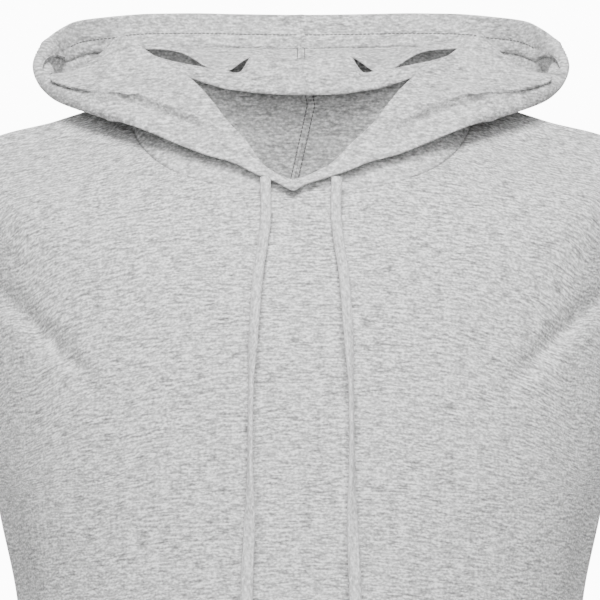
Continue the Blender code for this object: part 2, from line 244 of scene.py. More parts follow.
# ---- materials ----
class Shader:
    """Short way to add nodes to a material and join them."""

    def __init__(self, name):
        self.material = bpy.data.materials.new(name)
        self.material.use_nodes = True
        self.tree = self.material.node_tree
        self.surface = self.tree.nodes["Principled BSDF"]

    def put(self, node, inputs):
        """Set or link inputs of a node, each by its name or by an underscore and its number."""
        for name, value in inputs.items():
            socket = node.inputs[int(name[1:]) if name[0] == "_" else name.replace("_", " ")]
            if isinstance(value, bpy.types.NodeSocket):
                self.tree.links.new(value, socket)
            else:
                socket.default_value = value

    def add(self, kind, output, settings=(), **inputs):
        node = self.tree.nodes.new("ShaderNode" + kind)
        for name, value in dict(settings).items():
            setattr(node, name, value)
        self.put(node, inputs)
        return node.outputs[output]

    def made(self, grey, **inputs):
        """The material, once its surface has a level of grey and its other inputs."""
        colour = self.add("CombineColor", "Color", Red=grey, Green=grey, Blue=grey)
        self.put(self.surface, dict(inputs, Base_Color=colour))
        return self.material

    def maths(self, operation, a, b=0.0):
        return self.add("Math", 0, {"operation": operation}, _0=a, _1=b)

    def spread(self, value, low, high, least=-1.0, most=1.0):
        """Value from low to high taken to least to most, and held there."""
        return self.add("MapRange", 0, Value=value, _1=low, _2=high, _3=least, _4=most)

    def noise(self, grain, along, across, detail, rough, shift):
        """Noise whose blots are along by across metres on the cloth."""
        size = self.add("VectorMath", 0, {"operation": "MULTIPLY"}, _0=grain,
                        _1=(1.0 / along, 1.0 / across, 1.0 / along))
        moved = self.add("VectorMath", 0, {"operation": "ADD"}, _0=size, _1=(shift, shift * 1.7, shift))
        return self.add("TexNoise", "Fac", Vector=moved, Scale=1.0, Detail=detail, Roughness=rough)


FLECK_SIZE = (0.0021, 0.0015)  # metres along the courses and across them
CLOUD_SIZE = (0.022, 0.008)
KNIT_SIZE = (0.0016, 0.0006)
DASH_LEVEL = 0.70  # how strongly each shows, as the exponent of its tone
DASH_UNEVEN = 0.25  # how much weaker the dashes are where the cloud is pale
FLECK_LEVEL = 0.50
PATCH_LEVEL = 0.13
PALEST = 0.95


def heather(name, tone, seed, dash_size=(0.0080, 0.0017), strength=1.0, level_courses=False):
    """Melange jersey: short dark and pale dashes along the courses, over a soft cloud.

    The courses follow the piece's own grain, or lie level all over it where level_courses is set.
    """
    s = Shader(name)
    if level_courses:
        place = s.add("TexCoord", "Object")
        x, y, z = s.add("SeparateXYZ", 0, Vector=place).node.outputs
        grain = s.add("CombineXYZ", 0, X=x, Y=z, Z=y)
    else:
        grain = s.add("UVMap", "UV", {"uv_map": "grain"})
    dash = s.noise(grain, *dash_size, 2.0, 0.55, seed)
    fleck = s.noise(grain, *FLECK_SIZE, 1.0, 0.5, seed + 7.0)
    cloud = s.noise(grain, *CLOUD_SIZE, 2.0, 0.6, seed + 13.0)
    patch = s.spread(cloud, 0.30, 0.70)
    weight = s.maths("ADD", s.maths("MULTIPLY", patch, -DASH_UNEVEN), DASH_LEVEL)
    stops = s.maths("MULTIPLY", s.spread(dash, 0.28, 0.72), weight)
    stops = s.maths("ADD", stops, s.maths("MULTIPLY", s.spread(fleck, 0.28, 0.72), FLECK_LEVEL))
    stops = s.maths("MULTIPLY", s.maths("ADD", stops, s.maths("MULTIPLY", patch, PATCH_LEVEL)), strength)
    level = s.maths("MINIMUM", s.maths("MULTIPLY", s.maths("EXPONENT", stops), tone), PALEST)
    knit = s.noise(grain, *KNIT_SIZE, 1.0, 0.5, seed + 3.0)
    height = s.maths("ADD", s.maths("MULTIPLY", knit, 0.6), s.maths("MULTIPLY", dash, 0.4))
    normal = s.add("Bump", "Normal", Strength=0.35, Distance=0.0006, Height=height)
    return s.made(level, Roughness=0.92, Specular_IOR_Level=0.25, Sheen_Weight=0.25, Sheen_Roughness=0.5,
                  Normal=normal)


def sewing_thread():
    """Spun polyester, darker than the cloth: partly the thread's own tone, partly painted shade of the
    grooves that the stitches sink into. The twist of its plies is bump.
    """
    s = Shader("sewing_thread")
    place = s.add("TexCoord", "Object")
    twist = s.add("TexNoise", "Fac", Vector=place, Scale=2600.0, Detail=1.0)
    # painted shade: these dark levels also stand in for the shade inside the stitch grooves
    level = s.spread(twist, 0.3, 0.7, 0.11, 0.22)
    normal = s.add("Bump", "Normal", Strength=0.3, Distance=0.0002, Height=twist)
    return s.made(level, Roughness=0.7, Specular_IOR_Level=0.35, Normal=normal)


# ---- meshes ----
CLOTH = 0.0009  # the jersey as it shows; the solid's wall is a little thicker
FOLD_RADIUS = 0.00095  # of a turned edge, so that its two layers lie against each other


def unit(vectors):
    return vectors / np.maximum(np.linalg.norm(vectors, axis=-1, keepdims=True), 1e-12)


def grid_normals(grid):
    """Unit normals of a grid of points, towards the right side of the cloth."""
    return unit(np.cross(np.gradient(grid, axis=1), np.gradient(grid, axis=0)))


def lengths_along(grid, axis, parts=(0, 1, 2)):
    """Distance run along each line of a grid."""
    step = np.linalg.norm(np.diff(grid[..., list(parts)], axis=axis), axis=2)
    start = np.zeros_like(np.take(step, [0], axis=axis))
    return np.concatenate([start, np.cumsum(step, axis=axis)], axis=axis)


def run_along(line):
    """Distance run along one line of points."""
    return lengths_along(line[:, None, :], 0)[:, 0]


def points_at(marks, run, line):
    """Points of a line at the given distances along it."""
    return np.stack([np.interp(marks, run, line[:, k]) for k in range(3)], axis=1)


def mesh_piece(name, points, faces, material, grain=None):
    mesh = bpy.data.meshes.new(name)
    mesh.from_pydata([tuple(p) for p in points], [], faces)
    if grain is not None:
        layer = mesh.uv_layers.new(name="grain")
        index = np.empty(len(mesh.loops), dtype=np.int32)
        mesh.loops.foreach_get("vertex_index", index)
        layer.data.foreach_set("uv", np.asarray(grain, dtype=np.float32)[index].ravel())
    mesh.shade_smooth()
    mesh.materials.append(material)
    piece = placed(name, mesh)
    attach(piece, BODY)
    return piece


def cloth_piece(node, grid, grain, material, flip=False):
    """Shell of jersey that stands for a node, on a grid of points: the grid is its right side."""
    rows, columns = grid.shape[:2]
    corner = (np.arange(rows - 1)[:, None] * columns + np.arange(columns - 1)[None, :]).ravel()
    faces = np.stack([corner, corner + 1, corner + columns + 1, corner + columns], axis=1)
    if flip:
        faces = faces[:, ::-1]
    piece = mesh_piece(node + "_panel", grid.reshape(-1, 3), faces.tolist(), material, grain.reshape(-1, 2))
    wall = piece.modifiers.new("wall", "SOLIDIFY")
    wall.thickness = CLOTH
    wall.offset = -1.0
    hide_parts(node)
    return piece


# ---- how worn cloth lies ----
SEAM_ROLL = 0.0010  # how far a panel's edge rolls in at a seam
SEAM_REACH = 0.0020  # and over what distance
NECK_FLAT = (0.070, 0.035)  # half the width of neck seam that lies flat, and how soon it rolls beyond
SWAY = 0.0006  # soft uneven wave all over
BED_DEPTH = 0.0012  # of the dent under each drawstring
BED_REACH = 0.0045
BED_TOP = (-0.085, 0.02)  # height where the dents end, and over what distance they fade
BED_FOOT = (-0.405, 0.02)
CREASE_PLACE = (0.012, 0.05)  # how far from the side seam creases begin, and to be full
CREASE_ENDS = (0.3, 0.4)  # share of its length over which each end of a crease fades
CALM_BY_NECK = 0.04
CALM_BY_JOINT = 0.03
SHOULDER_IN = (0.02, 0.13, 0.05)  # its inside: nearer the middle, at most so far from it, and lower

# Creases as soft troughs: x and z of both ends, width, depth, and how far the middle lies above the
# straight line between them.
FRONT_CREASES = (
    (-0.25, -0.104, -0.122, -0.23, 0.0074, 0.0078, 0.003),
    (0.252, -0.104, 0.121, -0.232, 0.0076, 0.0076, 0.003),
    (-0.208, -0.255, -0.184, -0.51, 0.012, 0.02, 0),
    (0.208, -0.255, 0.184, -0.5, 0.012, 0.02, 0),
    (-0.03, -0.262, 0.031, -0.26, 0.0045, 0.0007, 0.007),
    (-0.026, -0.287, 0.028, -0.289, 0.005, 0.0008, 0.006),
    (-0.172, -0.262, -0.075, -0.33, 0.012, 0.0012, -0.01),
    (0.176, -0.27, 0.07, -0.322, 0.013, 0.0011, -0.009),
    (-0.11, -0.44, -0.14, -0.64, 0.013, 0.007, 0.006),
    (0.07, -0.48, 0.098, -0.7, 0.015, 0.0074, 0.005),
    (-0.03, -0.52, -0.046, -0.69, 0.011, 0.005, 0.004),
    (0.14, -0.43, 0.15, -0.56, 0.01, 0.005, -0.004),
    (0.01, -0.6, 0.014, -0.716, 0.009, 0.0036, 0.002),
    (-0.215, -0.205, -0.3, -0.228, 0.008, 0.003, 0.006),
    (0.214, -0.212, 0.296, -0.24, 0.0085, 0.0028, 0.005),
    (-0.222, -0.245, -0.29, -0.282, 0.007, 0.0022, 0.004),
    (0.224, -0.238, 0.286, -0.276, 0.007, 0.0024, 0.004),
)
BACK_CREASES = (
    (-0.24, -0.1, -0.15, -0.19, 0.0075, 0.0056, 0.004),
    (0.238, -0.104, 0.146, -0.186, 0.008, 0.0054, 0.004),
    (-0.186, -0.3, -0.12, -0.372, 0.01, 0.0056, -0.006),
    (0.188, -0.292, 0.126, -0.38, 0.0095, 0.0058, -0.006),
    (-0.07, -0.33, -0.098, -0.66, 0.015, 0.008, 0.008),
    (0.064, -0.36, 0.108, -0.69, 0.016, 0.0076, 0.007),
    (-0.01, -0.42, 0.006, -0.64, 0.012, 0.005, 0.004),
    (0.15, -0.47, 0.158, -0.64, 0.011, 0.0056, -0.004),
    (-0.146, -0.45, -0.158, -0.6, 0.011, 0.0052, 0.004),
    (-0.216, -0.2, -0.298, -0.236, 0.008, 0.003, 0.005),
    (0.216, -0.196, 0.3, -0.23, 0.008, 0.0032, 0.005),
    (0.222, -0.246, 0.288, -0.288, 0.007, 0.0022, 0.003),
)


def eased(value):
    """0 below 0, 1 above 1 and a smooth step between."""
    held = np.clip(value, 0.0, 1.0)
    return held * held * (3.0 - 2.0 * held)


def begun(value, spot):
    """0 up to a spot's first number, then a smooth step to 1 over as much as its second."""
    return eased((value - spot[0]) / spot[1])


def ended(value, spot):
    """0 from a spot's first number on, after a smooth step from 1 over as much as its second."""
    return eased((spot[0] - value) / spot[1])


def troughs(x, z, creases):
    """Depth of creases at points x, z; each fades out at both ends."""
    total = 0.0
    for x0, z0, x1, z1, width, depth, bow in creases:
        across, down = x1 - x0, z1 - z0
        length = math.hypot(across, down)
        along = ((x - x0) * across + (z - z0) * down) / length ** 2
        aside = ((z - z0) * across - (x - x0) * down) / length * np.sign(across)
        aside = aside - bow * 4.0 * along * (1.0 - along)
        fade = eased(along / CREASE_ENDS[0]) * eased((1.0 - along) / CREASE_ENDS[1])
        total = total + depth * np.exp(-(aside / width) ** 2) * fade
    return total


def drawstring_bed(x, z):
    """Depth of the dents in which the drawstrings lie."""
    route = np.array(CORD_ROUTE)[::-1]
    aside = (np.abs(x) - np.interp(z, route[:, 2], route[:, 0])) / BED_REACH
    return BED_DEPTH * np.exp(-aside ** 2) * ended(z, BED_TOP) * begun(z, BED_FOOT)


def faded(distance, reach):
    """1 at a seam, falling to 0 within a few reaches of it."""
    return np.exp(-(distance / reach) ** 2)


def into_the_body(grid):
    """Directions from each point to the inside of the shoulder, the same for all panels that meet there."""
    nearer, most, lower = SHOULDER_IN
    x, z = grid[..., 0], grid[..., 2]
    beside = np.sign(x) * np.minimum(np.abs(x) - nearer, most)
    return unit(np.stack([beside, np.zeros(x.shape), z - lower], axis=-1) - grid)


def neck_roll(from_neck, x):
    """How far cloth by the neck seam rolls in; the seam lies flat towards the middle."""
    return SEAM_ROLL * faded(from_neck, SEAM_REACH) * begun(np.abs(x), NECK_FLAT)


def worn(grid, out, from_side, from_joint, from_neck=1.0):
    """Grid of a panel with its creases and sway; out is the sign of its right side's normal.

    from_side is the distance from a side or underarm seam, and from_joint from the armhole and the
    shoulder seam, where panels meet at an angle and so move the same way, as they do at the neck.
    """
    normals = grid_normals(grid) * out
    x, y, z = grid[..., 0], grid[..., 1], grid[..., 2]
    front, back = begun(-y, CREASE_PLACE), begun(y, CREASE_PLACE)
    by_neck = eased(from_neck / CALM_BY_NECK)
    dents = troughs(x, z, FRONT_CREASES) + drawstring_bed(x, z)
    level = front * dents - back * troughs(x, z, BACK_CREASES)
    sway = SWAY * (2.0 + np.sin(23.0 * x + 11.0 * z + 1.0) + np.sin(29.0 * z - 17.0 * x + 2.3))
    depth = sway * by_neck * eased(from_joint / CALM_BY_JOINT) + SEAM_ROLL * faded(from_side, SEAM_REACH)
    rolled = SEAM_ROLL * faded(from_joint, SEAM_REACH) * by_neck + neck_roll(from_neck, x)
    grid = grid - normals * depth[..., None] + into_the_body(grid) * rolled[..., None]
    return grid + BACK * (level * by_neck)[..., None]


def from_ends(grid, axis):
    """Distance of each point to the nearer end of its line."""
    run = lengths_along(grid, axis)
    total = np.take(run, [-1], axis=axis)
    return np.minimum(run, total - run)


def turned_in(grid, rows, out=1.0):
    """Grid with its last edge folded over to the wrong side, as far back as the given count of rows."""
    normals = grid_normals(grid) * out
    last, normal = grid[-1], normals[-1]
    beyond = unit(grid[-1] - grid[-2])
    centre = last - normal * FOLD_RADIUS
    fold = [centre + FOLD_RADIUS * (normal * math.cos(a) + beyond * math.sin(a))
            for a in np.linspace(0.0, math.pi, 7)[1:-1]]
    under = [grid[-1 - i] - normals[-1 - i] * (2 * FOLD_RADIUS) for i in range(rows)]
    return np.concatenate([grid, np.array(fold), np.array(under)])


# ---- stitches ----
STITCH = 0.0030  # length of one stitch with the gap after it
STITCH_GAP = 0.0002
THREAD = 0.00055  # radius
THREAD_SUNK = 0.00005  # how far a thread's middle lies below the cloth's face
THREAD_BOW = 0.5  # of its radius, how much deeper its ends lie
THREAD_TAPER = 0.60  # share of its section that is gone at its ends
THREAD_RINGS = 5
THREAD_SIDES = 6
NEEDLE_GAUGE = 0.0056  # between the two needles of a coverstitch


def line_on(grid, out, distance, axis):
    """Points and normals of a line that runs at a distance from a grid's last edge along an axis."""
    normals = grid_normals(grid) * out
    if axis == 1:
        grid, normals = grid.transpose(1, 0, 2), normals.transpose(1, 0, 2)
    from_end = lengths_along(grid[::-1], 0)[::-1]
    return tuple(np.concatenate([points_at([-distance], -from_end[:, j], field[:, j])
                                 for j in range(grid.shape[1])]) for field in (grid, normals))


def inside(line, depth):
    """The same line on the other side of the cloth, depth metres in."""
    points, normals = line
    return points - normals * depth, -normals


def running(line, start=0.0, stop=1.0):
    """Ends and normals of the stitches along a line, between two shares of its length."""
    points, normals = line
    run = run_along(points)
    first = np.arange(start * run[-1], stop * run[-1] - STITCH, STITCH)
    last = first + STITCH - STITCH_GAP
    middle = (first + last) / 2
    return points_at(first, run, points), points_at(last, run, points), points_at(middle, run, normals)


def tube_faces(rings, sides):
    """Faces of a closed tube whose points run round each ring in turn."""
    faces = []
    for first in range(0, (rings - 1) * sides, sides):
        for j in range(sides):
            after = (j + 1) % sides
            faces.append((first + j, first + after, first + sides + after, first + sides + j))
    faces.append(tuple(range(sides))[::-1])
    faces.append(tuple((rings - 1) * sides + j for j in range(sides)))
    return faces


def threads(name, rows, material, mirror=False):
    """One mesh of thread, with a small bowed bar for each stitch of each row."""
    start, stop, normal = (np.concatenate([row[k] for row in rows]) for k in range(3))
    if mirror:
        start, stop, normal = (field * np.array((-1.0, 1.0, 1.0)) for field in (start, stop, normal))
    along = stop - start
    across = unit(np.cross(along, normal))
    points = []
    for end in np.linspace(-1.0, 1.0, THREAD_RINGS):
        radius = THREAD * math.sqrt(1.0 - THREAD_TAPER * end * end)
        sunk = THREAD_SUNK + THREAD_BOW * THREAD * end * end
        middle = (start + stop) / 2 + along * (end / 2) - normal * sunk
        for side in np.arange(THREAD_SIDES) * 2 * math.pi / THREAD_SIDES:
            points.append(middle + radius * (across * math.cos(side) + normal * math.sin(side)))
    points = np.array(points).transpose(1, 0, 2)
    bar = tube_faces(THREAD_RINGS, THREAD_SIDES)
    faces = [tuple(stitch * THREAD_RINGS * THREAD_SIDES + k for k in face)
             for stitch in range(len(points)) for face in bar]
    piece = mesh_piece(name, points.reshape(-1, 3), faces, material)
    return piece


def coverstitch(grid, out, depth):
    """Two rows of stitches on each side of a depth from a grid's last edge."""
    return [running(line_on(grid, out, depth + side * NEEDLE_GAUGE / 2, 0)) for side in (-1, 1)]


# ---- body ----
HEM = 0.022  # depth of the hems of the body and the sleeves
HEM_ROWS = 12
SIDE_ENDS = 0.02  # over what height below the armpit the side seam comes to roll as the armhole does


def torso_points(around, level):
    """Points of the body's outer face; around is an array of degrees from the front, 0 to 180."""
    _, half_width, y_front, y_back, z_front, z_side, z_back, square = row_at(TORSO_RINGS, level)
    side, front = np.sin(np.radians(around)), np.cos(np.radians(around))
    reach = (np.abs(side) ** square + np.abs(front) ** square) ** (-1.0 / square)
    side, front = side * reach, front * reach
    ahead = front > 0
    y = np.where(ahead, y_front * front, -y_back * front)
    z = np.where(ahead, z_side + (z_front - z_side) * front, z_side - (z_back - z_side) * front)
    return np.stack([half_width * side, y, z], axis=-1)


def armhole_angle(level):
    """Angle on the ring where the front's edge lies: the side, or further in along the armhole."""
    share = (level - ARMPIT_LEVEL) / (SHOULDER_LEVEL - ARMPIT_LEVEL)
    if share <= 0 or share >= 1:
        return 90.0
    return 90.0 - ARMHOLE_SCOOP * math.sin(math.pi * share) ** ARMHOLE_ROUND


def body_levels():
    return np.array(steps(0.0, (HEM, HEM_ROWS), (ARMPIT_LEVEL, 96), (0.46, 10), (0.62, 54),
                          (SHOULDER_LEVEL, 12), (0.722, 26), (NECK_LEVEL, 8)))


def body_grid(centre):
    """Rows from the hem up, each from the wearer's right to the left, round the front (0) or back (180)."""
    share = np.array(steps(-1.0, (-0.982, 7), (0.982, 136), (1.0, 7)))
    grid = []
    for level in body_levels():
        around = np.abs(centre - np.abs(share) * armhole_angle(level))
        row = torso_points(around, level)
        row[:, 0] *= np.sign(share)
        grid.append(row)
    return np.array(grid)


COURSE_ARCH = 0.45  # how fast the knit's courses fall away from the middle, per metre
COURSE_REACH = 0.12  # metres from the middle where their slope stops growing


def body_grain(grid):
    """Metres across and up each panel's cloth; its courses arch gently over the chest."""
    middle = grid.shape[1] // 2
    run = lengths_along(grid, 1, (0, 1))
    run = run - run[:, middle:middle + 1]
    rise = lengths_along(grid, 0, (1, 2))
    bowed = np.minimum(np.abs(run), COURSE_REACH)
    fall = COURSE_ARCH * bowed * (2.0 * np.abs(run) - bowed)
    return np.stack([run, rise + fall], axis=-1)


def make_body(material, thread):
    for name, centre, out in (("front", 0.0, 1.0), ("back", 180.0, -1.0)):
        grid = body_grid(centre)
        from_neck = lengths_along(grid[::-1], 0)[::-1]
        from_seam = from_ends(grid, 1)
        above = begun(body_levels(), (ARMPIT_LEVEL - SIDE_ENDS, SIDE_ENDS))[:, None]
        grid = worn(grid, out, from_seam + above, from_seam + (1.0 - above), from_neck)
        rows = coverstitch(grid[::-1], -out, HEM - NEEDLE_GAUGE)
        stitches = threads(name + "_hem_stitches", rows, thread)
        grid = turned_in(grid[::-1], HEM_ROWS, -out)[::-1]
        piece = cloth_piece(name, grid, body_grain(grid), material, flip=out < 0)


# ---- sleeves ----
def down_and_out(degrees):
    angle = math.radians(degrees)
    return np.array((math.cos(angle), 0.0, -math.sin(angle)))


def armhole_point(index):
    """Point of the wearer's left armhole; index runs 0 at the shoulder, 9 at the armpit, 18 back again."""
    last = len(LEVELS_OF_ARMHOLE) - 1
    down = index if index <= last else 2 * last - index
    level = curve_at(list(range(last + 1)), LEVELS_OF_ARMHOLE[::-1], down)
    angle = armhole_angle(level)
    return torso_points(np.array([angle if index <= last else 180.0 - angle]), level)[0]


def sleeve_grid():
    """Rows from the armhole to the cuff, each from the underarm round the back and over to the front."""
    axis = down_and_out(90.0 - SLEEVE_HANG)
    outward = down_and_out(-SLEEVE_HANG)
    last = len(LEVELS_OF_ARMHOLE) - 1
    indices = np.array(steps(last, (last + 0.3, 7), (3 * last - 0.3, 126), (3 * last, 7)))
    start = np.array([armhole_point(i if i <= 2 * last else i - 2 * last) for i in indices])
    top, bottom = start[:, 2].max(), start[:, 2].min()
    grid = []
    for ring in steps(0.0, (0.03, 6), (0.86, 60), (1.0, HEM_ROWS)):
        row = []
        for index, point in zip(indices, start):
            turn = math.pi * index / last
            end = (CUFF_CENTRE + outward * (CUFF_HALF_WIDTH * math.cos(turn))
                   - BACK * (CUFF_HALF_DEPTH * math.sin(turn)))
            sunk = (top - point[2]) / (top - bottom)
            leave = down_and_out(SHOULDER_SLOPE + (UNDERARM_SLOPE - SHOULDER_SLOPE) * sunk ** 2)
            length = np.linalg.norm(end - point)
            row.append(hermite(point, end, leave * (length * SLEEVE_FULLNESS), axis * length, 1.0, ring))
        grid.append(row)
    return np.array(grid)


def make_sleeves(material, thread):
    left = sleeve_grid()
    from_armhole = lengths_along(left, 0)
    left = worn(left, 1.0, from_ends(left, 1), from_armhole)
    rows = coverstitch(left, 1.0, HEM - NEEDLE_GAUGE)
    left = turned_in(left, HEM_ROWS)
    grain = np.stack([lengths_along(left, 1), lengths_along(left, 0)], axis=-1)
    for side, sign in BOTH_SIDES:
        grid = left * np.array((sign, 1.0, 1.0))
        piece = cloth_piece("sleeve_" + side, grid, grain, material, flip=sign < 0)
        stitches = threads("cuff_stitches_" + side, rows, thread, mirror=sign < 0)


# ---- hood ----
CASING = 0.0252  # depth of the hem turned in round the opening

# The back of the pouch buckles forward under its casing: degrees round the hood, y and z of the lowest
# line of that buckle, and the share of it that is there.
LIPS = (
    (0, 0.06, 0.044, 0),
    (84, 0.06, 0.044, 0),
    (124, 0.07, 0.046, 0),
    (132, 0.07, 0.0435, 1),
    (143, 0.064, 0.04, 1),
    (151, 0.059, 0.0275, 1),
    (157, 0.057, 0.025, 1),
    (164, 0.066, 0.036, 1),
    (172, 0.08, 0.037, 1),
    (180, 0.084, 0.037, 1),
)
BUCKLE_BEND = np.array((0.0, 0.020, 0.003))  # from its lowest line to the next point back
BUCKLE_HANG = np.array((0.0, -0.004, -0.024))  # how the casing hangs there

# Degrees round the hood, and the shares to which the cloth drops behind the lapel there, sinks into a
# pocket, and curls back under itself along the casing.
SIDES = (
    (0, 0, 0, 0), (30, 0, 0, 0), (42, 0, 0, 0.12), (54, 0, 0, 0.25),
    (62, 0, 0, 0.52), (68, 0, 0, 0.76), (74, 0, 0, 0.88), (79.5, 0, 0, 0.92),
    (84, 1, 1, 0.94), (95, 1, 1, 0.9), (104, 1, 0.7, 0.5), (116, 1, 0, 0),
    (180, 1, 0, 0),
)
POCKET = np.array((0.0, 0.022, -0.001))  # how far the pouch's points are moved where its share is 1
POCKET_REACH = (0.2, 0.7, 1.0, 1.0, 0.9)  # share of that for each point
LAPEL_POINTS = (0.12, 0.32, 0.60, 0.90)  # share of the way from the roll to the crest by the casing
LAPEL_CREST = 0.0020  # how far that crest lies from the casing's inner line
RIM_RADIUS = 0.0013  # of the full curl, under the casing's two layers
RIM_EASE = 0.0060  # how much wider a slight curl is
RIM_TURN = 150.0  # degrees that the full curl goes back past the rim
RIM_CREASE = 80.0  # and how far it turns down into the crease on the other side
RIM_TAIL = 0.0175  # straight end behind the curl
RIM_POINTS = 26
ROWS_BETWEEN = (14, 10, 12, 6, 8, 12, 14, 8, 8, 8)  # rows of the mesh between profile points
FINE_POINTS = 14  # between two of those, of the line that the rows are set on
ROLL_ROW = sum(ROWS_BETWEEN[:3])
CASING_ROW = sum(ROWS_BETWEEN)  # the row at the casing's inner line
CASING_ROWS = 56
CASING_SHARE = 0.8  # most of the way from the edge to the roll that the casing takes
NEEDLE_LINE = 0.0145  # from the opening's edge to the casing's outer row of stitches
NEEDLE_DENT = 0.0004  # how far those stitches pull the cloth in
NEEDLE_DENT_REACH = 0.0017
GROOVE_DEPTH = 0.0012  # of the casing's inner line, round the back
GROOVE_REACH = 0.0018
DENTS_FROM = (100.0, 10.0)  # degrees round the hood where both begin, and to be full
LAPEL_SMOOTHING = 80  # passes over the rows by the casing's inner line, in front
LAPEL_SMOOTH_FROM = (-36.0, 10.0)  # row from that line where they begin, and rows to be full
LAPEL_SMOOTH_TO = (10.0, 8.0)  # row where they end, and rows to fade
LAPEL_END = (84.0, 6.0)  # degrees round the hood where the lapel ends, and to fade
RIDGE_HEIGHT = 0.0066  # of the lapel's cloth where it drops to the casing
RIDGE_PLACE = 0.0010  # of its highest line from the casing's inner line
RIDGE_REACH = (0.0170, 0.0032)  # above that line and below it
RIDGE_ROOM = 0.85  # most of the way to the roll that it may reach
RIDGE_FROM = (26.0, 12.0)  # degrees round the hood where it begins, and to be full
RIDGE_TO = (90.0, 10.0)  # where it ends, and to fade
RIDGE_MORE = 0.7  # how much higher it is by the hood's ends
RIDGE_MORE_FROM = (50.0, 14.0)
SWAG_CREASES = (
    (0.025, 0.008, 0.013, 0.0145, 0.002, 0.0022, 0),
    (0.06, 0.019, 0.044, 0.013, 0.0024, 0.0016, 0.001),
)
SWAG_BACK = (0.052, 0.006)  # how far back they reach, and over what distance they fade
SWAG_FROM = 150.0  # degrees round the hood where they begin


def across_the_nape(rows, sideways=()):
    """Rows of the hood with the last but one mirrored beyond the nape, so both halves meet smoothly.

    sideways lists the columns that change sign.
    """
    beyond = [-value if column in sideways else value for column, value in enumerate(rows[-2])]
    return rows + ((360 - beyond[0], *beyond[1:]),)


def rim_points(edge, along, ahead, curl, depth):
    """Points of the casing from its inner line to the cut edge, flat where curl is 0.

    along points from the edge into the cloth, and ahead runs along the edge.
    """
    across = np.cross(BACK, ahead)
    across = unit(across) * (1.0 if across @ along > 0 else -1.0)
    inward = unit(along * (1.0 - curl) + across * curl)
    backward = unit(BACK - inward * (inward @ BACK))
    turn, crease = math.radians(RIM_TURN) * curl, math.radians(RIM_CREASE) * curl
    radius = RIM_RADIUS + RIM_EASE * (1.0 - curl)
    tail, arc = RIM_TAIL * max(2.0 * curl - 1.0, 0.0), radius * (turn + crease)
    outermost = min(turn, math.pi / 2)
    reach = (radius + 2 * FOLD_RADIUS) * math.sin(outermost) + tail * math.cos(outermost)
    centre = edge + inward * reach + backward * (radius * math.cos(outermost))

    def on_curl(angle):
        return centre - radius * (backward * math.cos(angle) + inward * math.sin(angle))

    def onward(angle):
        return inward * math.cos(angle) - backward * math.sin(angle)

    points = []
    for way in np.linspace(depth, 0.0, RIM_POINTS):
        if way < tail:
            points.append(on_curl(turn) - onward(turn) * (tail - way))
        elif way < tail + arc:
            points.append(on_curl(turn - (way - tail) / radius))
        else:
            points.append(on_curl(-crease) + onward(-crease) * (way - tail - arc))
    return points


def hood_row(around):
    """Tuck, rise, drop, lean, belly, roll and edge of the hood's section at around degrees."""
    _, tuck, rise, *points, drop, lean = row_at(across_the_nape(HOOD_SECTIONS, HOOD_X), max(around, 0.0))
    return tuck, rise, drop, lean, *np.array(points).reshape(3, 3)


def hood_profile(around):
    """Points that shape one section of the hood, from the neck seam over the roll to the edge."""
    tuck, rise, drop, lean, belly, roll, edge = hood_row(around)
    neck = torso_points(np.array([float(around)]), NECK_LEVEL)[0]
    risen = neck + (belly - neck) * rise + BACK * tuck
    _, lip_y, lip_z, buckle = row_at(across_the_nape(LIPS), around)
    behind, pocket, curl, buckle = np.clip([*row_at(SIDES, around)[1:], buckle], 0.0, 1.0)
    sag = np.array((0.0, lean, -1.0)) * max(drop, 0.0)
    pouch = [roll + (edge - roll) * across + sag * depth + POCKET * pocket * reach
             for (across, depth), reach in zip(POUCH_POINTS, POCKET_REACH)]
    wall = pouch.pop()
    along = unit(unit(roll - edge) * (1.0 - behind) + unit(wall - edge) * behind)
    along = unit(along * (1.0 - buckle) + unit(BUCKLE_HANG) * buckle)
    rim = rim_points(edge, along, hood_row(around + 1.0)[-1] - hood_row(around - 1.0)[-1], curl,
                     min(CASING, CASING_SHARE * np.linalg.norm(roll - edge)))
    crest = edge + along * ((rim[0] - edge) @ along + LAPEL_CREST)
    flat = [roll + (crest - roll) * across for across in LAPEL_POINTS]
    pouch = [a + (b - a) * behind for a, b in zip(flat, pouch)]
    wall = (crest + rim[0]) * 0.5 * (1.0 - behind) + wall * behind
    front = np.array((wall[0], lip_y, lip_z))
    plain = (pouch[-1] + (wall - pouch[-1]) * 0.55, wall)
    bent = (front + BUCKLE_BEND, front)
    buckled = [a + (b - a) * buckle for a, b in zip(plain, bent)]
    return [neck, risen, belly, roll] + pouch + buckled + rim


def hood_column(around):
    """Points of one section from the neck seam to the fold: up to the casing's inner line, then on."""
    points = hood_profile(around)
    keys = [0.0]
    for first, second in zip(points, points[1:]):
        keys.append(keys[-1] + math.sqrt(np.linalg.norm(second - first)))
    spots = steps(0.0, *[(key, FINE_POINTS) for key in keys[1:]])
    line = np.array([curve_at(keys, points, key) for key in spots])
    run = run_along(line)
    posts = run[::FINE_POINTS][:len(ROWS_BETWEEN) + 1]
    marks = steps(posts[0], *zip(posts[1:], ROWS_BETWEEN))
    casing = np.linspace(posts[-1], run[-1] - FOLD_RADIUS, CASING_ROWS + 1)[1:]
    return points_at(np.concatenate([marks, casing]), run, line)


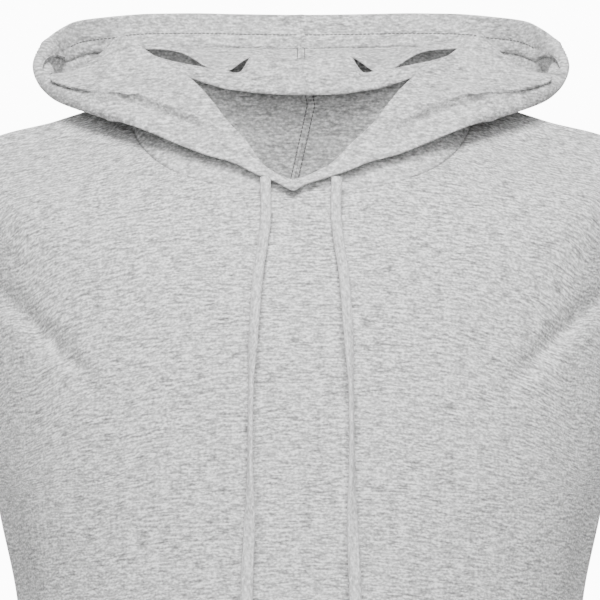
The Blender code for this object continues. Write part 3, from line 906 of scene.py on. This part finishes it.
def hood_grid():
    """Rows from the neck seam to the fold of the left half, each from the V round to the nape."""
    around = np.array(steps(0.0, (2.0, 5), (12.0, 10), (76.0, 38), (92.0, 30), (140.0, 34), (152.0, 14),
                            (177.6, 14), (180.0, 8)))
    grid = np.array([hood_column(station) for station in around]).transpose(1, 0, 2)
    by_back = begun(around, DENTS_FROM)
    row = np.arange(len(grid))[1:-1, None] - CASING_ROW
    share = begun(row, LAPEL_SMOOTH_FROM) * ended(row, LAPEL_SMOOTH_TO) * ended(around, LAPEL_END)
    for _ in range(LAPEL_SMOOTHING):
        grid[1:-1] += share[..., None] * (grid[:-2] - 2.0 * grid[1:-1] + grid[2:]) / 4.0

    run = lengths_along(grid, 0)
    from_casing = run - run[[CASING_ROW]]
    above = np.minimum(RIDGE_REACH[0], RIDGE_ROOM * (run[CASING_ROW] - run[ROLL_ROW]))
    height = RIDGE_HEIGHT * begun(around, RIDGE_FROM) * ended(around, RIDGE_TO) * above / RIDGE_REACH[0]
    height = height * (1.0 + RIDGE_MORE * begun(around, RIDGE_MORE_FROM))
    from_ridge = from_casing - RIDGE_PLACE
    ridge = height * faded(from_ridge, np.where(from_ridge < 0, above, RIDGE_REACH[1]))
    groove = GROOVE_DEPTH * faded(from_casing, GROOVE_REACH) * by_back
    line = NEEDLE_DENT * faded(run[-1] - run - NEEDLE_LINE, NEEDLE_DENT_REACH) * by_back
    roll = SEAM_ROLL * faded(from_ends(grid, 1), SEAM_REACH)
    neck = into_the_body(grid) * neck_roll(run, grid[0, :, 0])[..., None]
    swag = troughs(grid[..., 0], grid[..., 2], SWAG_CREASES)
    swag = swag * ended(grid[..., 1], SWAG_BACK) * (around > SWAG_FROM)
    grid = grid + neck + grid_normals(grid) * (groove + line + swag - roll - ridge)[..., None]
    grid[:, [0, -1], 0] = 0.0
    return grid


GRAIN_STEP = 0.5  # between the two panels' grain, so that their dashes differ
INNER_LINE = 0.002  # from the casing's cut edge to its inner row of stitches
SEAM_STITCH = 0.0025  # from the seam at the back of the hood to the stitches on each side of it
SEAM_LEAN = ((-0.054, -0.0055), (0.0, 0.0072), (0.030, 0.0))  # height, and how far the seam strays
SEAM_LEAN_REACH = 0.030  # how far on each side the cloth follows it
SEAM_LEAN_BACK = (0.080, 0.008)  # how far back it does, and over what distance that fades
NEEDLE_OUTSIDE = (0.64, 1.0)  # shares of its line, V to nape, that each row of stitches covers
NEEDLE_INSIDE = (0.66, 1.0)
CASING_INSIDE = (0.70, 1.0)
SEAM_INSIDE = ((0.0, 0.12), (0.89, 0.955))  # neck seam to edge, where the seam's inside shows


def leaned(grid, sign):
    """Half of the hood moved sideways by its back seam, which lies askew inside the neck."""
    x, y, z = grid[..., 0], grid[..., 1], grid[..., 2]
    heights, strays = zip(*SEAM_LEAN)
    shift = np.interp(z, heights, strays) * faded(x, SEAM_LEAN_REACH) * ended(y, SEAM_LEAN_BACK)
    return grid + shift[..., None] * np.array((sign, 0.0, 0.0))


def hood_stitches(half):
    """Rows of stitches of one half: the casing's and the back seam's, on both sides of the cloth."""
    needle, inner = line_on(half, 1.0, NEEDLE_LINE, 0), line_on(half, 1.0, CASING - INNER_LINE, 0)
    seam = line_on(half, 1.0, SEAM_STITCH, 1)
    layers = 2 * FOLD_RADIUS
    return [running(needle, *NEEDLE_OUTSIDE), running(seam),
            *(running(inside(seam, CLOTH), *part) for part in SEAM_INSIDE),
            running(inside(needle, layers), *NEEDLE_INSIDE), running(inside(inner, layers), *CASING_INSIDE)]


def make_hood(material, thread):
    flat = hood_grid()
    left = turned_in(flat, CASING_ROWS - 2)
    left[:, [0, -1], 0] = 0.0
    from_edge = lengths_along(left[::-1], 0)[::-1]
    grain = np.stack([from_edge, lengths_along(left, 1)], axis=-1)
    for side, sign in BOTH_SIDES:
        rows = hood_stitches(leaned(flat, sign))
        grid = leaned(left, sign) * np.array((sign, 1.0, 1.0))
        piece = cloth_piece("hood_" + side, grid, grain + (sign < 0) * GRAIN_STEP, material, flip=sign < 0)
        stitches = threads("hood_stitches_" + side, rows, thread, mirror=sign < 0)


# ---- drawstrings ----
def smooth_route(points, count):
    """Count points at even spacing along the smooth curve through a route."""
    points = [np.array(point) for point in points]
    keys = [0.0]
    for first, second in zip(points, points[1:]):
        keys.append(keys[-1] + np.linalg.norm(second - first))
    return np.array([curve_at(keys, points, keys[-1] * i / (count - 1)) for i in range(count)])


# Share of the way down, turn of the tape about its own line in degrees, width against the nominal.
TAPE_TURN = (
    (0, 4, 0.97), (0.12, 0, 0.97), (0.17, 12, 0.96), (0.24, 16, 0.97), (0.36, 40, 0.98),
    (0.45, 80, 1), (0.6, 82, 1), (0.68, 55, 1), (0.75, 12, 1.06), (0.83, -6, 1.1),
    (0.92, 20, 1.05), (1, 50, 0.95),
)


def tape(name, route, turn_sign, material):
    """Flat folded tape that follows a route and turns about it."""
    path = smooth_route(route, CORD_POINTS)
    along = unit(np.gradient(path, axis=0))
    across = unit(np.cross(along, -BACK))
    out = np.cross(across, along)
    shares = np.linspace(0.0, 1.0, CORD_POINTS)
    _, turn, wide = np.array([row_at(TAPE_TURN, share) for share in shares]).T
    turn = np.radians(turn) * turn_sign
    flat = across * np.cos(turn)[:, None] + out * np.sin(turn)[:, None]
    thick = np.cross(flat, along)
    settle = TAPE_SETTLE * np.cos(turn) ** 2 * begun(shares, SETTLE_FROM) * ended(shares, SETTLE_TO)
    middle = path + settle[:, None] * BACK
    half_thickness = np.full(CORD_POINTS, 0.5 * TAPE_THICKNESS)
    piece = swept(name, middle, flat, thick, 0.5 * TAPE_WIDTH * wide, half_thickness, material, TAPE_TAPER)
    return piece, path, run_along(path)[-1]


KNOT_RADIUS = 0.0075
KNOT_LENGTH = 0.019
KNOT_TAIL = 0.014
KNOT_POINTS = 120
KNOT_SMOOTHING = 6
KNOT_HALF_THICKNESS = 0.0013
# Share of the way along the knot, and half the tape's width there.
KNOT_WIDTHS = ((0.0, 0.0034), (0.12, 0.0026), (0.80, 0.0025), (0.88, 0.0036), (1.0, 0.0040))
KNOT_TAIL_FROM = 0.82  # share of the way where its flat tail begins
# Route of the overhand knot and its tail from the drawstring's end, in its radius and half its length.
KNOT_ROUTE = (
    (0, 0.1, 0.98), (0.02, 0.24, 0.62), (0.1, 0.22, 0.2), (0.26, 0.06, -0.28), (0.06, -0.12, -0.56),
    (-0.38, -0.18, -0.4), (-0.56, -0.2, 0.02), (-0.36, -0.4, 0.4), (0.08, -0.48, 0.5),
    (0.5, -0.28, 0.34), (0.58, 0.1, 0), (0.3, 0.38, -0.26), (-0.1, 0.2, -0.44),
    (-0.14, -0.22, -0.74), (-0.06, -0.24, -1.1),
)


def make_knot(name, start, sign, material):
    """Overhand knot tied in the tape, with a short tail below it."""
    size = np.array((KNOT_RADIUS * sign, KNOT_RADIUS, KNOT_LENGTH / 2))
    middle = start - UP * (KNOT_LENGTH / 2)
    route = [middle + size * point for point in KNOT_ROUTE]
    route.append(route[-1] - UP * KNOT_TAIL)
    path = smooth_route(route, KNOT_POINTS)
    along = unit(np.gradient(path, axis=0))
    side = unit(np.cross(along, path - middle))
    shares = np.linspace(0.0, 1.0, len(path))
    wide = np.interp(shares, *zip(*KNOT_WIDTHS))
    for _ in range(KNOT_SMOOTHING):
        side[1:-1] = unit(side[:-2] + 2.0 * side[1:-1] + side[2:])
    up = unit(np.cross(side, along))
    tail = shares > KNOT_TAIL_FROM
    side[tail], up[tail] = np.array((1.0, 0.0, 0.0)), -BACK
    return swept(name, path, side, up, wide, np.full(len(path), KNOT_HALF_THICKNESS), material)


def swept(name, path, side, up, half_width, half_thickness, material, taper=0.0):
    """Closed mesh of a flat section carried along a path, with side and up as its two directions."""
    angle = np.arange(TAPE_SIDES) * 2 * math.pi / TAPE_SIDES
    c, s = np.cos(angle), np.sin(angle)
    high = np.sign(s) * np.abs(s) ** TAPE_SQUARE[1]
    wide = np.sign(c) * np.abs(c) ** TAPE_SQUARE[0] * (1.0 - taper * (0.5 + 0.5 * high))
    rings = (path[:, None, :] + side[:, None, :] * (half_width[:, None] * wide[None, :])[..., None]
             + up[:, None, :] * (half_thickness[:, None] * high[None, :])[..., None])
    run = run_along(path)
    around = np.tile(0.001 * np.arange(1, TAPE_SIDES + 1), len(path))
    grain = np.stack([np.repeat(run, TAPE_SIDES), around], axis=-1)
    return mesh_piece(name, rings.reshape(-1, 3), tube_faces(len(path), TAPE_SIDES), material, grain)


def make_drawstrings(material):
    for side, sign in BOTH_SIDES:
        route = [(x * sign, y, z) for x, y, z in CORD_ROUTE]
        piece, path, length = tape("tape_" + side, route, sign, material)
        knot = make_knot("knot_" + side, path[-1], sign, material)
        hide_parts("drawstring_knot_" + side)
        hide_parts("drawstring_" + side)


# ---- all of it ----
make_camera()
make_world()
make_light("key", (0.0, -3.0, 0.6), -0.2, 2.2, KEY_POWER)
make_light("top", (0.0, -2.2, 2.2), -0.1, 1.4, TOP_POWER)
for side, sign in BOTH_SIDES:
    make_light("back_" + side, (sign * 1.6, 2.4, 1.1), -0.3, 1.6, BACK_POWER)
make_floor()
jersey = heather("jersey", 0.56, 0.0)
hood_jersey = heather("hood_jersey", 0.56, 23.0, (0.0052, 0.0018), 0.74, level_courses=True)
tape_jersey = heather("tape_jersey", 0.62, 41.0, (0.0040, 0.0018), 0.60)
make_drawstrings(tape_jersey)
thread = sewing_thread()
make_body(jersey, thread)
make_sleeves(jersey, thread)
make_hood(hood_jersey, thread)
